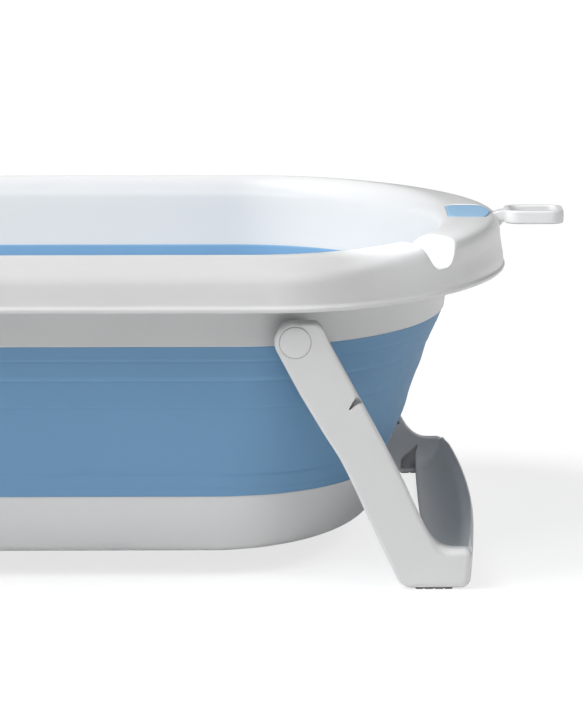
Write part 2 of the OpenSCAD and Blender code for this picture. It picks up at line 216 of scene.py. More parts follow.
def grid_faces(K, N, closed_k):
    F = []
    for i in range(K if closed_k else K - 1):
        k = (i + 1) % K
        for j in range(N):
            j2 = (j + 1) % N
            F.append([i * N + j, k * N + j, k * N + j2, i * N + j2])
    return F


TA = np.linspace(-90, 90, 121)      # plain angular steps of an end

# ------------------------------------------------------------------ rim tables (mm)
h, he, skirt_z, band_z = 215.0, 216.5, 180.5, 155.0
rim_out = [
    [216.4, 226.0, 364.4, 2.05, band_z, band_z],
    [216.4, 225.6, 364.8, 2.08, h - 36, he - 34],
    [216.4, 225.3, 364.8, 2.10, h - 15, he - 13.5],
    [216.9, 225.0, 365.2, 2.14, h - 10.5, he - 8.5],
    [218.2, 225.2, 366.8, 2.18, h - 6, he - 4],
    [220.0, 226.8, 369.6, 2.20, h - 2.4, he - 1.2],
    [222.6, 230.2, 374.5, 2.16, h - 0.1, he - 0.1],
    [226.2, 235.0, 384.6, 2.10, h - 0.6, he + 0.1],
    [230.4, 240.0, 395.2, 2.03, h - 3.0, he - 0.2],
    [234.6, 245.0, 402.2, 1.94, h - 6.6, he - 1.6],
    [238.0, 249.5, 405.4, 1.87, h - 10.8, he - 5.0],
    [240.4, 252.4, 406.5, 1.83, h - 15.6, he - 10.5],
    [241.4, 253.6, 407.0, 1.81, h - 20.5, he - 17],
    [242.6, 255.2, 408.7, 1.80, h - 28.5, he - 27],
    [243.4, 256.0, 409.2, 1.80, skirt_z + 3.6, skirt_z + 3.6],
    [244.7, 256.8, 409.7, 1.80, skirt_z + 2.5, skirt_z + 2.5],
    [245.0, 256.9, 410.0, 1.80, skirt_z + 1.3, skirt_z + 1.3],
    [244.6, 256.8, 409.6, 1.80, skirt_z + 0.1, skirt_z + 0.1]]
rim_in = [
    [243.6, 255.6, 408.4, 1.80, skirt_z - 0.2, skirt_z - 0.2],
    [242.2, 254.6, 406.9, 1.80, skirt_z + 0.6, skirt_z + 0.6],
    [240.8, 253.5, 405.4, 1.80, skirt_z + 4.2, skirt_z + 4.2],
    [238.8, 251.2, 404.2, 1.82, h - 19.5, he - 17],
    [237.6, 249.8, 403.8, 1.84, h - 15.0, he - 11.2],
    [235.6, 247.2, 402.6, 1.88, h - 11.8, he - 7.0],
    [232.6, 243.4, 399.6, 1.95, h - 8.6, he - 4.6],
    [229.2, 239.0, 394.0, 2.03, h - 5.6, he - 3.4],
    [225.8, 235.0, 385.4, 2.10, h - 3.4, he - 3.1],
    [222.9, 231.4, 378.4, 2.14, h - 3.0, he - 3.3],
    [220.9, 229.0, 373.8, 2.16, h - 5.0, he - 4.8],
    [219.6, 227.4, 371.6, 2.14, h - 8.6, he - 8.0],
    [219.2, 226.9, 370.8, 2.10, h - 15, he - 14.5],
    [219.1, 226.8, 370.9, 2.07, h - 36, he - 36],
    [219.2, 226.7, 368.9, 2.03, band_z + 0.9, band_z + 0.9],
    [218.5, 226.7, 367.6, 2.03, band_z, band_z]]

CR_R, CR_W = 13.5, 4.0
CR_IN = (336.2, -137.8, 211.4)
CR_A, CR_T = math.radians(-36), math.radians(23)


def cradle_lw(P):
    dx, dy = P[..., 0] - CR_IN[0], P[..., 1] - CR_IN[1]
    return dx * math.cos(CR_A) + dy * math.sin(CR_A), -dx * math.sin(CR_A) + dy * math.cos(CR_A)


def cradle_z(P, g):
    l, w = cradle_lw(P)
    r = CR_R + g
    ww = np.maximum(0, np.abs(w) - CR_W)
    prof = np.where(ww < r, r - np.sqrt(np.maximum(0, r * r - ww * ww)), r + (ww - r) * 14)
    z = CR_IN[2] - math.tan(CR_T) * l + (prof - g) / math.cos(CR_T)
    far = (l < -25) | (l > 90) | (P[..., 0] < 250) | (P[..., 1] > -40)
    return np.where(far, 1e4, z)


def softmin(a, b, r):
    q = np.clip(0.5 + 0.5 * (b - a) / r, 0, 1)
    return b * (1 - q) + a * q - r * q * (1 - q)


# columns that run along the cradle keep its walls clean
phi = np.radians(np.arange(0, 91, 7.5))
wpos = list(np.linspace(0, 15, 13)) + [16.1, 17.1, 17.9, 18.9, 20, 21.3, 22.8, 24.6, 27, 30, 34, 40]
W_COL = np.array(sorted(set([-round(x, 4) for x in wpos] + [round(x, 4) for x in wpos])))


def rim_outline(row):
    td = np.linspace(-89.5, -2, 1200)
    P = right_arc(row, td)
    l, w = cradle_lw(P)
    tz = np.interp(W_COL, w, td)
    ta = np.linspace(-90, tz[0], 26)[:-1]
    tb = np.linspace(tz[-1], 90, 96)[1:]
    return outline(row, np.concatenate([ta, tz, tb]), TA)


out_rows = dense_rows(rim_out, [2, 3, 4, 4, 5, 5, 5, 6, 6, 6, 5, 4, 4, 6, 4, 4, 4])
in_rows = dense_rows(rim_in, [3, 3, 3, 2, 3, 3, 3, 3, 2, 2, 2, 3, 2, 2, 3])
GO = np.array([rim_outline(r) for r in out_rows])
GI = np.array([rim_outline(r) for r in in_rows])
zo = cradle_z(GO, 0.0)
lw = cradle_lw(GO)
near = np.exp(-((np.abs(lw[1]) - 17.2) / 4.6) ** 2) * (lw[0] > -12) * (lw[0] < 45) * (GO[..., 1] < -40) * (GO[..., 0] > 250)
near = np.maximum(near, np.exp(-((lw[0] - 3) / 4.0) ** 2) * (np.abs(lw[1]) < 17) * (GO[..., 1] < -40) * (GO[..., 0] > 250) * (GO[..., 2] > 205))
near *= 0.25 + 0.75 * np.clip((GO[..., 2] - 196) / 12, 0, 1)
GO[..., 2] = softmin(GO[..., 2], zo, 0.8)
GI[..., 2] = np.minimum(GI[..., 2], cradle_z(GI, 2.4))
# round the cradle's edges
for _ in range(13):
    avg = GO.copy()
    avg[1:-1] = (GO[:-2] + GO[2:] + np.roll(GO, 1, 1)[1:-1] + np.roll(GO, -1, 1)[1:-1]) / 4
    GO = GO + (avg - GO) * (0.55 * near)[..., None]
G = np.concatenate([GO, GI])
rim = make("rim_shell", G.reshape(-1, 3), grid_faces(G.shape[0], G.shape[1], True))

# grip pad outline (tub mm), as the deck recess and the pad itself use it
def pad_outline(o, n=8):
    x0, x1, y, r = 371.0 - o, 399.8 + o, 34 + o, 9 + o
    P = []
    P += arc(x1 - 3.4 - r, y - r, r, 0, 90, n) + arc(x0 + r, y - r, r, 90, 180, n)
    P += arc(x0 + r, -y + r, r, 180, 270, n) + arc(x1 - 3.4 - r, -y + r, r, 270, 360, n)
    P += [[x1 - 3.4 * q * q, q * (y - r)] for q in np.linspace(-1, 1, 15)[1:-1]]
    return np.array(P)


def stack(levels):
    """Closed solid from outlines of equal length [(xy outline, z or z array)], capped at both ends."""
    V, F = [], []
    n = len(levels[0][0])
    for P, z in levels:
        z = np.full(n, z) if np.isscalar(z) else z
        V.append(np.column_stack([P, z]))
    K = len(levels)
    F = grid_faces(K, n, False)
    F += [list(range(n)), list(range((K - 1) * n, K * n))[::-1]]
    return np.vstack(V), F


cuts = []
for sx in (1, -1):
    V, F = stack([(pad_outline(0.25), he - 1.5), (pad_outline(0.25), he - 1.0), (pad_outline(0.6), he - 0.75),
                  (pad_outline(1.7), he - 0.3), (pad_outline(2.5), he + 0.3), (pad_outline(2.5), he + 4)])
    V[:, 0] *= sx
    cuts.append(make("cut", V, F))
# notch for the ring's neck, rounded corners
P = arc(404, 190.4, 0.1, 0, 0, 0)
nc = [[-7 + 0, 0]]
yz = arc(5.0, 190.0, 2.0, 270, 360, 5) + [[7.0, 240]] + [[-7.0, 240]] + arc(-5.0, 190.0, 2.0, 180, 270, 5)
V = np.array([[400.3, a, b] for a, b in yz] + [[430.3, a, b] for a, b in yz])
n = len(yz)
F = [[i, (i + 1) % n, n + (i + 1) % n, n + i] for i in range(n)] + [list(range(n))[::-1], list(range(n, 2 * n))]
cuts.append(make("cut", V, F))
boolean(rim, cuts)
smooth(rim, 38)

# ------------------------------------------------------------------ soft wall
seam_z = 55.0


def lookup(x, T):
    return np.interp(x, [a for a, _ in T], [b for _, b in T])


def pchip(x, T):
    """Smooth monotone curve through a lookup table."""
    X = np.array([a for a, _ in T], float); Y = np.array([b for _, b in T], float)
    d = np.diff(Y) / np.diff(X)
    m = np.zeros(len(X)); m[0], m[-1] = d[0], d[-1]
    for i in range(1, len(X) - 1):
        m[i] = 0 if d[i - 1] * d[i] <= 0 else 2 / (1 / d[i - 1] + 1 / d[i])
    i = np.clip(np.searchsorted(X, x) - 1, 0, len(X) - 2)
    hh = X[i + 1] - X[i]; t = (x - X[i]) / hh
    return ((2 * t ** 3 - 3 * t ** 2 + 1) * Y[i] + (t ** 3 - 2 * t ** 2 + t) * hh * m[i]
            + (-2 * t ** 3 + 3 * t ** 2) * Y[i + 1] + (t ** 3 - t ** 2) * hh * m[i + 1])


WB = [[0, 200.2], [0.12, 203.2], [0.36, 209.6], [0.6, 213.4], [0.85, 216.6], [0.94, 217.6], [1, 218.9]]
WS = [[0, 204.8], [0.3, 214], [1, 226.7]]
WE = [[0, 327.2], [0.3, 341.8], [0.36, 343.9], [0.44, 346.2], [0.565, 350.9], [0.65, 354.6], [0.73, 357.1], [0.81, 359.8], [0.89, 363.5], [0.93, 365.2], [1, 368.1]]
WN = [[0, 2.28], [1, 2.03]]
wall_f = [0, 0.06, 0.13, 0.15, 0.26, 0.36, 0.47, 0.6, 0.77, 0.8, 0.9, 0.92, 1]
wall_step = [0, 0, 0.2, 0.9, 0.7, 0.5, 0.7, 0.9, 1.1, 0.4, 0.3, 0, 0]


def wall_row(f, extra):
    z = seam_z + (band_z - seam_z) * f
    o = float(np.interp(f, wall_f, wall_step)) + extra
    return [float(pchip(f, WB)) - o, float(pchip(f, WS)) - o * 0.3, float(pchip(f, WE)) - o, float(lookup(f, WN)), z, z]


fs = np.unique(np.round(np.concatenate([np.linspace(0, 1, 61), [0.125, 0.135, 0.145, 0.155, 0.765, 0.775, 0.795, 0.805, 0.895, 0.905, 0.915, 0.925]]), 4))
# hinge lines where the wall folds: narrow grooves outside, matched by beads inside
folds = [(0.905, 0.14), (0.775, 0.16), (0.595, 0.12), (0.145, 0.22), (0.055, 0.2)]
for fz, _ in folds:
    fs = np.concatenate([fs, fz + np.array([-0.016, -0.011, -0.007, -0.003, 0, 0.003, 0.007, 0.011, 0.016])])
fs = np.unique(np.round(fs[(fs >= 0) & (fs <= 1)], 4))


def fold_depth(f):
    return sum(a * math.exp(-((f - fz) / 0.008) ** 2) for fz, a in folds)


rows_w = [wall_row(f, fold_depth(f)) for f in fs[::-1]] + [wall_row(f, 2.2 + fold_depth(f) * 0.5) for f in fs]
# inside, the skin laps up over the foot of the rim's inner wall and ends in a rounded edge
lap_z = 166.4
lap = [(215.9, 225.5, 363.9, 2.05, band_z + 0.3), (215.5, 225.3, 363.7, 2.05, band_z + 2.2), (215.5, 225.1, 363.8, 2.06, band_z + 6),
       (215.5, 225.0, 363.9, 2.06, lap_z - 1.2), (215.6, 225.0, 364.0, 2.06, lap_z - 0.5), (215.9, 225.0, 364.3, 2.06, lap_z - 0.1),
       (216.3, 225.2, 364.7, 2.06, lap_z), (216.75, 225.4, 365.1, 2.06, lap_z - 0.5), (216.9, 225.5, 365.2, 2.06, lap_z - 4),
       (217.0, 225.6, 365.2, 2.05, band_z + 4), (217.2, 225.8, 365.3, 2.05, band_z + 0.4)]
rows_w += [[B, s_, E, n, z, z] for B, s_, E, n, z in lap]
GW = np.array([outline(r, TA, TA) for r in rows_w])
wall = make("soft_wall_skin", GW.reshape(-1, 3), grid_faces(GW.shape[0], GW.shape[1], True))
smooth(wall, 50, weighted=False)

# ------------------------------------------------------------------ base pan
base_z, base_t = 15.0, 3.0
t_ = base_t
base_lv = [
    [171, 208, 303, 1.90, base_z, base_z],
    [180, 212, 312.5, 1.92, base_z + 1.4, base_z + 1.4],
    [187, 210.5, 318.6, 2.0, base_z + 6, base_z + 6],
    [192.6, 208.8, 322.4, 2.1, base_z + 13, base_z + 13],
    [196.8, 207, 324.9, 2.2, base_z + 22, base_z + 22],
    [199.2, 205.6, 326.4, 2.26, base_z + 31, base_z + 31],
    [200.2, 204.8, 327.2, 2.28, seam_z - 0.5, seam_z - 0.5],
    [199.8, 204.8, 326.8, 2.28, seam_z, seam_z]]
base_in = [
    [200.2 - t_ + 0.4, 204, 327.2 - t_ + 0.4, 2.28, seam_z, seam_z],
    [200.1 - t_, 204, 327.1 - t_, 2.28, seam_z - 0.6, seam_z - 0.6],
    [199 - t_, 204.6, 326.2 - t_, 2.26, base_z + 31, base_z + 31],
    [196.4 - t_, 206, 324.4 - t_, 2.2, base_z + 23, base_z + 23],
    [191.6 - t_, 207.8, 321.4 - t_, 2.1, base_z + 14.6, base_z + 14.6],
    [185.4 - t_, 209.4, 317 - t_, 2.0, base_z + 8.6, base_z + 8.6],
    [178 - t_, 211, 310.5 - t_, 1.92, base_z + 4.4, base_z + 4.4],
    [169, 208, 301, 1.90, base_z + t_, base_z + t_]]


def floor_rows(row0, z, dz_ring):
    """Rings from the floor's edge to its middle line; the last is a thin strip."""
    B, s, E, n = row0[:4]
    R = []
    for q in (0.985, 0.97, 0.94, 0.9, 0.8, 0.65, 0.5, 0.35, 0.2, 0.08):
        zz = z + dz_ring(q)
        R.append([B * q, s, s + (E - s) * q, n, zz, zz])
    return R


under = floor_rows(base_lv[0], base_z, lambda q: 0.0)
# underside: a shallow moulded step parallel to the edge
under = [[B, s, E, n, z + (1.0 if B < 155 else 0.0), z2 + (1.0 if B < 155 else 0.0)] for B, s, E, n, z, z2 in under]
inner = floor_rows(base_in[-1], base_z + t_, lambda q: 0.0)
rows_b = np.vstack([np.array(under[::-1]), dense_rows(base_lv, 4), dense_rows(base_in, 4), np.array(inner)])
GB = np.array([outline(r, TA, TA) for r in rows_b])
K, N = GB.shape[:2]
F = grid_faces(K, N, False)
# close the two middle strips: right arc points pair with the left arc's across the middle line
nr = len(TA)


def strip(base, flip):
    S = []
    top = [base + j for j in range(nr)]            # right end, from -Y to +Y
    bot = [base + nr + j for j in range(nr)]       # left end, from +Y to -Y
    S.append(top + bot)
    return [x[::-1] if flip else x for x in S]


F += strip(0, False) + strip((K - 1) * N, True)
base = make("base_tray", GB.reshape(-1, 3), F)
dx0, dr = 170.0, 17.0
V, F = cyl(dr + 4, (dx0, 0, base_z - 4), (dx0, 0, base_z + 1), 96)
boolean(base, [make("cut", V, F)], "UNION")
prof = [(0, base_z - 10), (dr + 1.0, base_z - 10), (dr + 1.0, base_z - 4.6), (dr, base_z - 3.4), (dr, base_z + t_ - 1.2),
        (dr + 8, base_z + t_ - 1.2), (dr + 8, base_z + t_ - 0.5), (dr + 8.8, base_z + t_ + 0.3), (dr + 8.8, base_z + 12), (0, base_z + 12)]
V, F = lathe([(a, b) for a, b in prof], (dx0, 0, 0), (0, 0, 1), 96)
boolean(base, [make("cut", V, F)])

# anti-slip bars on the floor: short rounded ribs in staggered rows, one solid with the floor
bars = []
bx, by = 24.0, 16.0
for i in range(-11, 12):
    for j in range(-9, 10):
        x = i * bx + (bx / 2 if j % 2 else 0)
        y = j * by
        e = (max(0, abs(x) - 190) / 92) ** 2 + (abs(y) / 150) ** 2
        if e > 1 or abs(y) > 146 or (x - dx0) ** 2 + y * y < 37 ** 2:
            continue
        bars.append((x, y))
V, F = [], []
seg = 6
for x, y in bars:
    b0 = len(V)
    lv = [(4.0, 1.55, -0.6), (4.0, 1.55, 0.0), (3.8, 1.35, 0.35), (3.4, 0.95, 0.55), (2.9, 0.45, 0.62)]
    for L, r, z in lv:
        for sgn in (1, -1):
            for k in range(seg + 1):
                a = math.radians(-90 + 180 * k / seg)
                V.append([x + sgn * (L - 1.55 + r * math.cos(a)), y + sgn * r * math.sin(a), base_z + t_ + z])
    n = 2 * (seg + 1)
    for q in range(len(lv) - 1):
        for k in range(n):
            k2 = (k + 1) % n
            F.append([b0 + q * n + k, b0 + q * n + k2, b0 + (q + 1) * n + k2, b0 + (q + 1) * n + k])
    F.append([b0 + k for k in range(n)][::-1])
    F.append([b0 + (len(lv) - 1) * n + k for k in range(n)])
boolean(base, [make("cut", np.array(V), F)], "UNION")
smooth(base, 36)

# ------------------------------------------------------------------ drain plug
zt = base_z + t_
prof = [(0, base_z + 1.4), (dr - 3, base_z + 1.4), (dr - 3, base_z - 3.4), (dr - 2.4, base_z - 4), (dr - 1.2, base_z - 4), (dr - 0.35, base_z - 2.6),
        (dr - 0.35, zt - 1.15), (dr + 7.2, zt - 1.15), (dr + 7.6, zt - 0.8), (dr + 7.6, zt + 0.5), (dr + 7.0, zt + 1.05), (dr + 6.2, zt + 1.25),
        (dr + 1.5, zt + 1.25), (dr + 0.6, zt + 0.7), (dr - 0.6, zt + 0.7), (dr - 1.5, zt + 1.25), (0, zt + 1.25)]
V, F = lathe(prof, (dx0, 0, 0), (0, 0, 1), 96)
plug = make("drain_stopper", V, F)
# finger tab: rounded plate with an eye
tab = [[-9, -0.6]] + [[9, -0.6]] + arc(0, 7, 9, 0, 180, 28)
tab = np.array(tab)


def slab_round(outl, y0, y1, r, axis="x", k=4, hole=None):
    """Rounded slab: closed outline in a plane, thickness between y0 and y1 along axis, edge radius r (number or list per point)."""
    P = np.array(outl, float)
    n = len(P)
    r = np.full(n, r) if np.isscalar(r) else np.array(r, float)
    area = 0.5 * np.sum(P[:, 0] * np.roll(P[:, 1], -1) - np.roll(P[:, 0], -1) * P[:, 1])
    if area < 0:
        P = P[::-1]; r = r[::-1]
    e = np.roll(P, -1, 0) - P
    L = np.linalg.norm(e, axis=1, keepdims=True)
    en = np.column_stack([e[:, 1], -e[:, 0]]) / np.maximum(L, 1e-9)      # outward normal of each edge
    nn = en + np.roll(en, 1, 0)
    nn /= np.linalg.norm(nn, axis=1, keepdims=True)
    cosh = np.clip((nn * en).sum(1), 0.5, 1)
    lv = []
    for s_, y in ((0, y0), (1, y1)):
        ks = range(0, k + 1) if s_ == 0 else range(k, -1, -1)
        for q in ks:
            a = math.radians(90 * q / k)
            ins = r * (1 - math.sin(a)); dep = r * (1 - math.cos(a))
            PP = P - nn * (ins / cosh)[:, None]
            lv.append((PP, y + dep if s_ == 0 else y - dep))
    V = []
    for PP, y in lv:
        if axis == "y":
            V.append(np.column_stack([PP[:, 0], y, PP[:, 1]]))
        elif axis == "x":
            V.append(np.column_stack([np.broadcast_to(y, n), PP[:, 0], PP[:, 1]]))
        else:
            V.append(np.column_stack([PP[:, 0], PP[:, 1], np.broadcast_to(y, n)]))
    V = np.vstack(V)
    F = grid_faces(len(lv), n, False) + [list(range(n)), list(range((len(lv) - 1) * n, len(lv) * n))[::-1]]
    return V, F


V, F = slab_round(tab, -2.25, 2.25, 1.0, "x", 4)
V[:, 0] += dx0; V[:, 2] += zt + 1.2
tabo = make("cut", V, F)
V, F = cyl(4.6, (dx0 - 6, 0, zt + 7.6), (dx0 + 6, 0, zt + 7.6), 48)
boolean(tabo, [make("cut", V, F)])
boolean(plug, [tabo], "UNION")
smooth(plug, 40)

# ------------------------------------------------------------------ legs
pivot_x, pivot_z, arm_y, arm_t = 265.0, 160.0, 235.0, 14.0
foot_z = 0.8
right_edge = [[287.4, 158.0], [305.2, 125.2], [322.5, 92.9], [335.2, 67.8], [340.4, 56.4], [344.8, 47.2],
              [348.4, 39.8], [352.6, 33.2], [357.2, 28.9], [362.4, 26.6], [368.5, 25.8]]
left_edge = [[322.5, 22.8], [311, 47.5], [300.6, 70.5], [292.6, 86.0], [284.0, 99.5], [268.5, 125.2]]
top_arc = [[pivot_x + 6.2 + 13.6 * math.cos(math.radians(60 - a)), pivot_z + 0.9 + 13.6 * math.sin(math.radians(60 - a))] for a in range(0, 46, 5)]
arm = top_arc[:-1] + spline2([top_arc[-1]] + right_edge, 7)
arm += arc(372.8, 19.8, 6.1, 84, 4, 12)
arm += arc(371.3, foot_z + 6.4, 6.4, 0, -90, 12)
bl = arc(340, foot_z + 11, 11, -90, -150, 10)
arm += bl[:-1] + spline2([bl[-1]] + left_edge, 7)
arm += arc(pivot_x, pivot_z, 13.3, 208, 96, 26)
arm = np.array(arm)


def resample_ok(P, dmin=0.25):
    keep = [P[0]]
    for p in P[1:]:
        if np.linalg.norm(p - keep[-1]) > dmin:
            keep.append(p)
    if np.linalg.norm(keep[0] - keep[-1]) < dmin:
        keep.pop()
    return np.array(keep)


arm = resample_ok(arm)
# edge radius: fuller round on the toe
toe = np.clip((arm[:, 0] - 352) / 10, 0, 1) * np.clip((36 - arm[:, 1]) / 8, 0, 1)
r_out = 2.5 + 2.3 * toe + 2.2 * np.clip((arm[:, 0] - 350) / 8, 0, 1) * np.clip((369 - arm[:, 0]) / 6, 0, 1) * np.clip((arm[:, 1] - 22) / 3, 0, 1)
for _ in range(6):
    r_out = (np.roll(r_out, 1) + 2 * r_out + np.roll(r_out, -1)) / 4
bar_xi = 356.7


def edge_x(P, z):
    P = np.array(P)
    o = np.argsort(P[:, 1])
    return np.interp(z, P[o, 1], P[o, 0])


def arm_solid(s):
    V, F = slab_round(arm, 0.0, 1.0, 0.0, "y", 1)      # placeholder, replaced below
    P = arm.copy()
    n = len(P)
    rr = r_out.copy()
    area = 0.5 * np.sum(P[:, 0] * np.roll(P[:, 1], -1) - np.roll(P[:, 0], -1) * P[:, 1])
    if area < 0:
        P = P[::-1]; rr = rr[::-1]
    e = np.roll(P, -1, 0) - P
    L = np.linalg.norm(e, axis=1, keepdims=True)
    en = np.column_stack([e[:, 1], -e[:, 0]]) / np.maximum(L, 1e-9)
    nn = en + np.roll(en, 1, 0); nn /= np.linalg.norm(nn, axis=1, keepdims=True)
    lv = []
    k = 6
    for q in range(k + 1):                             # outer face, rounded
        a = math.radians(90 * q / k)
        lv.append((P - nn * (rr * (1 - math.sin(a)))[:, None], arm_y - rr * (1 - math.cos(a)) * 0 - (rr - rr * math.cos(math.pi / 2 - a) if False else rr * (1 - math.cos(a)))))
    r2 = 0.9
    for q in range(3, -1, -1):                         # inner face
        a = math.radians(90 * q / 3)
        lv.append((P - nn * (r2 * (1 - math.sin(a))), np.full(n, arm_y - arm_t + r2 * (1 - math.cos(a)))))
    V = np.vstack([np.column_stack([PP[:, 0], np.broadcast_to(s * y, n), PP[:, 1]]) for PP, y in lv])
    F = grid_faces(len(lv), n, False) + [list(range(n)), list(range((len(lv) - 1) * n, len(lv) * n))[::-1]]
    ob = make("arm", V, F)
    cuts = []
    re, le = np.array(right_edge), np.array([[326, 12]] + left_edge + [[258, 142]])
    for z0, z1 in ((128.5, 141), (84, 110), (56, 81.5), (36, 53.5)):
        zz = np.linspace(z0, z1, 6)
        pl = [[float(edge_x(le, z)) + 3.6, z] for z in zz] + [[float(edge_x(re, z)) - 3.6, z] for z in zz[::-1]]
        V, F = slab_round(pl, arm_y - arm_t - 3, arm_y - 3.6, 0.0001, "y", 1)
        V[:, 1] *= s
        cuts.append(make("cut", V, F))
    # low pocket beside the crossbar
    pl = [[347.6, 3.2], [347.8, 10.4], [350.8, 13.6], [354.9, 17.0], [359.4, 21.0], [359.4, 3.2]]
    V, F = slab_round(pl, arm_y - arm_t - 3, arm_y - 7.0, 0.0001, "y", 1)
    V[:, 1] *= s
    cuts.append(make("cut", V, F))
    # running bore, counterbore for washer, screw and cap with a fine chamfer
    V, F = cyl(7.05, (pivot_x, s * (arm_y - arm_t - 5), pivot_z), (pivot_x, s * (arm_y - 2), pivot_z), 64)
    cuts.append(make("cut", V, F))
    V, F = lathe([(0, arm_y - 6), (10.1, arm_y - 6), (10.1, arm_y - 0.45), (10.7, arm_y + 0.15), (10.7, arm_y + 4), (0, arm_y + 4)],
                 (pivot_x, 0, pivot_z), (0, s, 0), 80)
    cuts.append(make("cut", V, F))
    # catch notch in the outer edge
    pl = [[306.8, 124.2], [303.3, 124.8], [299.2, 117.1], [299.5, 116.3], [301.0, 117.2], [303.6, 119.6], [307.6, 120.7]]
    V, F = slab_round(pl, arm_y - 9, arm_y + 4, 0.0001, "y", 1)
    V[:, 1] *= s
    cuts.append(make("cut", V, F))
    # pocket for the rubber foot
    y0, y1 = arm_y - 12.1, arm_y - 1.9
    V, F = slab_round([[341.9, -2], [366.1, -2], [366.1, 2.3], [341.9, 2.3]], y0, y1, 0.0001, "y", 1)
    V[:, 1] *= s
    cuts.append(make("cut", V, F))
    boolean(ob, cuts)
    return ob


def crossbar():
    ys = np.concatenate([[-223.0, -222.0], -221.6 + np.cumsum(np.linspace(0.6, 1.6, 14))])
    ys = np.concatenate([ys, np.linspace(ys[-1] + 3, 0, 30)])
    ys = np.concatenate([ys, -ys[:-1][::-1]])
    R = 14.0
    V = []
    U = 26
    for y in ys:
        xo = 386.4 - 8.3 * (y / 235) ** 2
        xi = 354.9 + 3.4 * min(1.0, abs(y - 35) / 190) ** 1.4
        q = min(1.0, max(0.0, (abs(y) - 176) / 50))
        bar_h = 28.0 - 1.9 * q * q * (3 - 2 * q)
        w = xo - xi
        a = min(1.0, max(0.0, (abs(y) - (221 - R)) / R))
        fil = R * (1 - math.sqrt(max(0.0, 1 - a * a)))
        u = 1 - (1 - np.linspace(0, 1, U)) ** 1.5
        top = [[xi, foot_z]]
        z = foot_z + 3 + (bar_h - 4.8) * (1 - np.sqrt(np.maximum(0, 1 - u ** 2.3)))
        lim = 24.4 + (bar_h - 1.9 - 24.4) * np.clip((u - 0.75) / 0.25, 0, 1)
        zf = softmin(z + fil, np.full(U, 60.0) if a <= 0 else lim + (1 - a) * 6, 3.0) if a > 0 else z
        zf = np.maximum(zf, z)
        # rounded inner lip
        top += [[xi, zf[0] - 1.2], [xi + 0.35, zf[0] - 0.35], [xi + 1.2, zf[0]]]
        top += [[xi + 1.2 + uu * (w - 2.6 - 1.2), zz] for uu, zz in zip(u[1:], zf[1:])]
        top += [[xo - 2.3, bar_h - 0.5], [xo - 1.6, bar_h - 0.05], [xo - 0.9, bar_h - 0.2], [xo - 0.35, bar_h - 0.8], [xo, bar_h - 1.8]]
        top += [[xo - 0.1, foot_z + 17], [xo - 1.1, foot_z + 6.6], [xo - 1.7, foot_z + 3.8], [xo - 3.2, foot_z + 1.5], [xo - 5.2, foot_z + 0.3], [xo - 7.2, foot_z]]
        low = [[xo - 8.6, foot_z], [xo - 7.4, foot_z + 2.2], [xo - 5.2, foot_z + 5], [xo - 3.8, foot_z + 9.5], [xo - 3.2, bar_h - 8]]
        for uu in np.linspace(1, 0, 16):
            low.append([xi + 3 + uu * (w - 6.4), foot_z + 0.8 + (bar_h - 9.6) * (1 - math.sqrt(max(0, 1 - uu ** 2.6)))])
        low.append([xi + 2.8, foot_z])
        V.append([[p[0], y, p[1]] for p in top + low])
    n = len(V[0])
    K = len(V)
    F = grid_faces(K, n, False) + [list(range(n)), list(range((K - 1) * n, K * n))[::-1]]
    return make("bar", np.array(V).reshape(-1, 3), F)


bar = crossbar()
leg = arm_solid(-1)
leg2 = arm_solid(1)
boolean(leg, [leg2, bar], "UNION")
# ribs under the crossbar
ribs = []
for y in (-120, 0, 120):
    V, F = slab_round([[bar_xi + 2.5, foot_z], [bar_xi + 21.4, foot_z], [bar_xi + 23.2, foot_z + 3.4], [bar_xi + 2.5, foot_z + 2.2]], y - 1.2, y + 1.2, 0.0001, "y", 1)
    ribs.append(make("cut", V, F))
boolean(leg, ribs, "UNION")
leg.name = leg.data.name = "leg_right_moulding"


def mirrored(ob, name):
    me = ob.data.copy()
    me.name = name
    o2 = bpy.data.objects.new(name, me)
    bpy.context.scene.collection.objects.link(o2)
    n = len(me.vertices)
    co = np.zeros(n * 3, np.float32)
    me.vertices.foreach_get("co", co)
    co = co.reshape(-1, 3)
    co[:, 0] = -co[:, 0] - 2 * XM / 1000
    me.vertices.foreach_set("co", co.ravel())
    me.flip_normals()
    me.update()
    return o2


legL = mirrored(leg, "leg_left_moulding")
smooth(leg, 30); smooth(legL, 30)


def caps(sx, name):
    V, F = [], []
    for sy in (-1, 1):
        prof = [(0, arm_y - 1.8), (9.7, arm_y - 1.8), (10.05, arm_y - 1.4), (10.05, arm_y + 0.05), (9.85, arm_y + 0.38), (9.4, arm_y + 0.55),
                (6.0, arm_y + 0.70), (2.5, arm_y + 0.77), (0, arm_y + 0.79)]
        v, f = lathe(prof, (sx * pivot_x, 0, pivot_z), (0, sy, 0), 80)
        b = len(V)
        V += [list(p) for p in v]
        F += [[i + b for i in q] for q in f]
    return smooth(make(name, np.array(V), F), 50)


